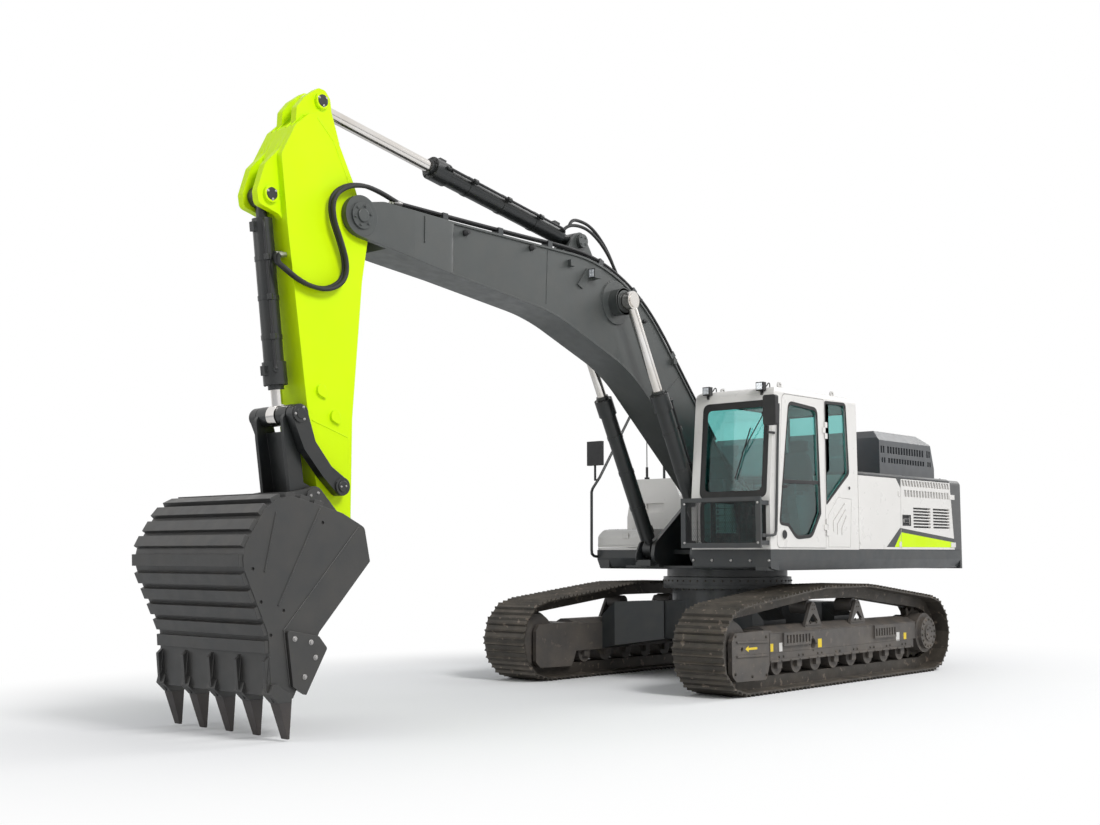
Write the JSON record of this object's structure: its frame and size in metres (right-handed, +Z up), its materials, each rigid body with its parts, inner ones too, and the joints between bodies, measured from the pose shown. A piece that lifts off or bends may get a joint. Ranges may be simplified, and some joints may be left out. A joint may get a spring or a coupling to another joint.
{
  "type": "crawler excavator",
  "caption": "Full-size crawler excavator with steel tracks, turning upper body, glazed cab, boom, arm and a five-tooth digging bucket.",
  "frame": {"origin": "on the ground under the middle of the machine's overall length, on its centre plane", "axes": "+X forward along the boom, +Y to the left (the cab's side), +Z up; the swing axis is 1.990 m behind the origin"},
  "size_m": [10.8207, 3.287, 5.3597],
  "materials": {
    "black_plastic": "matt",
    "boom_grey": "satin",
    "bucket_grey": "satin",
    "cast_iron": "rough",
    "chrome": "polished",
    "dark_paint": "satin",
    "dusty_grey": "dusty matt",
    "glass": "clear",
    "lime_paint": "gloss",
    "off_white_paint": "gloss",
    "seat_fabric": "woven",
    "track_steel": "worn steel"
  },
  "bodies": {
    "undercarriage": {"carbody": "dark_paint", "swing_bearing": "dark_paint", "track_left": "track_steel", "track_right": "track_steel", "track_frame_left": "dusty_grey", "track_frame_right": "dusty_grey", "idlers": "dusty_grey", "sprockets": "dusty_grey", "final_drives": "dusty_grey", "lower_rollers": "dusty_grey", "carrier_rollers": "dusty_grey"},
    "upper": {"platform": "dark_paint", "counterweight": "dark_paint", "engine": "cast_iron", "body_frame": "dark_paint", "hydraulic_tank": "off_white_paint", "fuel_tank": "off_white_paint", "toolbox": "off_white_paint", "cab_shell": "off_white_paint", "cab_glass": "glass", "cab_guard": "dark_paint", "operator_seat": "seat_fabric", "cab_consoles": "black_plastic", "mirrors": "black_plastic", "handrail": "dark_paint"},
    "cab_door": {"cab_door": "off_white_paint", "door_glass": "glass"},
    "left_front_door": {"left_front_door": "off_white_paint"},
    "left_rear_door": {"left_rear_door": "off_white_paint"},
    "right_rear_door": {"right_rear_door": "off_white_paint"},
    "engine_hood": {"engine_hood": "dark_paint"},
    "toolbox_lid": {"toolbox_lid": "off_white_paint"},
    "boom": {"boom": "boom_grey"},
    "boom_ram_barrels": {"boom_ram_barrels": "boom_grey"},
    "boom_ram_rods": {"boom_ram_rods": "chrome"},
    "arm_ram_barrel": {"arm_ram_barrel": "boom_grey"},
    "arm_ram_rod": {"arm_ram_rod": "chrome"},
    "arm": {"arm": "lime_paint"},
    "bucket_ram_barrel": {"bucket_ram_barrel": "boom_grey"},
    "bucket_ram_rod": {"bucket_ram_rod": "chrome"},
    "rocker_links": {"rocker_links": "boom_grey"},
    "bucket_link": {"bucket_link": "boom_grey"},
    "bucket": {"bucket": "bucket_grey", "bucket_teeth": "bucket_grey"}
  },
  "joints": [
    {"name": "swing", "type": "hinge", "parent": "undercarriage", "child": "upper", "pos_m": [-1.9905, 0, 1.14], "axis": [0, 0, 1], "continuous": true},
    {"name": "boom_lift", "type": "hinge", "parent": "upper", "child": "boom", "pos_m": [-1.8405, 0, 1.99], "axis": [0, -1, 0], "range_deg": [-54, 47]},
    {"name": "arm_fold", "type": "hinge", "parent": "boom", "child": "arm", "pos_m": [3.8895, 0, 4.3], "axis": [0, 1, 0], "range_deg": [-66, 40]},
    {"name": "bucket_curl", "type": "hinge", "parent": "arm", "child": "bucket", "pos_m": [4.0095, 0, 1.48], "axis": [0, 1, 0], "range_deg": [0, 158]},
    {"name": "cab_door_swing", "type": "hinge", "parent": "upper", "child": "cab_door", "pos_m": [-1.7105, 1.502, 1.9], "axis": [0, 0, 1], "range_deg": [0, 150]},
    {"name": "left_front_door_swing", "type": "hinge", "parent": "upper", "child": "left_front_door", "pos_m": [-3.4405, 1.496, 1.9], "axis": [0, 0, 1], "range_deg": [0, 100]},
    {"name": "left_rear_door_swing", "type": "hinge", "parent": "upper", "child": "left_rear_door", "pos_m": [-4.8955, 1.496, 1.9], "axis": [0, 0, 1], "range_deg": [0, 100]},
    {"name": "right_rear_door_swing", "type": "hinge", "parent": "upper", "child": "right_rear_door", "pos_m": [-4.8955, -1.496, 1.9], "axis": [0, 0, -1], "range_deg": [0, 100]},
    {"name": "engine_hood_lift", "type": "hinge", "parent": "upper", "child": "engine_hood", "pos_m": [-3.4355, 0, 2.345], "axis": [0, 1, 0], "range_deg": [0, 55]},
    {"name": "toolbox_lid_lift", "type": "hinge", "parent": "upper", "child": "toolbox_lid", "pos_m": [-1.9765, 0, 1.694], "axis": [0, -1, 0], "range_deg": [0, 80]},
    {"name": "boom_ram_tilt", "type": "hinge", "parent": "upper", "child": "boom_ram_barrels", "pos_m": [-1.0305, 0, 1.45], "axis": [0, -1, 0], "range_deg": [-53.69, 46.79]},
    {"name": "boom_ram_stroke", "type": "slide", "parent": "boom_ram_barrels", "child": "boom_ram_rods", "axis": [0.4615, 0, 0.8871], "range_m": [-0.8058, 0.702]},
    {"name": "arm_ram_tilt", "type": "hinge", "parent": "boom", "child": "arm_ram_barrel", "pos_m": [0.7895, 0, 4.64], "axis": [0, -1, 0], "range_deg": [-4.25, 6.69]},
    {"name": "arm_ram_stroke", "type": "slide", "parent": "arm_ram_barrel", "child": "arm_ram_rod", "axis": [0.9849, 0, 0.1734], "range_m": [-1.024, 0.6226]},
    {"name": "bucket_ram_tilt", "type": "hinge", "parent": "arm", "child": "bucket_ram_barrel", "pos_m": [4.7645, 0, 4.335], "axis": [0, -1, 0], "range_deg": [-0.5, 2.48]},
    {"name": "bucket_ram_stroke", "type": "slide", "parent": "bucket_ram_barrel", "child": "bucket_ram_rod", "axis": [-0.1267, 0, -0.9919], "range_m": [-0.005, 1.2248]},
    {"name": "rocker_swing", "type": "hinge", "parent": "arm", "child": "rocker_links", "pos_m": [4.0845, 0, 1.957], "axis": [0, 1, 0], "range_deg": [-0.5, 112.13]},
    {"name": "bucket_link_swing", "type": "hinge", "parent": "bucket", "child": "bucket_link", "pos_m": [4.3545, 0, 1.845], "axis": [0, 1, 0], "range_deg": [-110.39, 0.5]}
  ],
  "couplings": [
    {"joint": "boom_ram_tilt", "follows": "boom_lift", "ratio": 0.9849},
    {"joint": "boom_ram_stroke", "follows": "boom_lift", "m_per_rad": 0.8497},
    {"joint": "arm_ram_tilt", "follows": "arm_fold", "ratio": -0.0938},
    {"joint": "arm_ram_stroke", "follows": "arm_fold", "m_per_rad": 0.88465},
    {"joint": "bucket_ram_tilt", "follows": "bucket_curl", "ratio": 0.0125},
    {"joint": "bucket_ram_stroke", "follows": "bucket_curl", "m_per_rad": 0.44232},
    {"joint": "rocker_swing", "follows": "bucket_curl", "ratio": 0.7065},
    {"joint": "bucket_link_swing", "follows": "bucket_curl", "ratio": -0.6955}
  ]
}
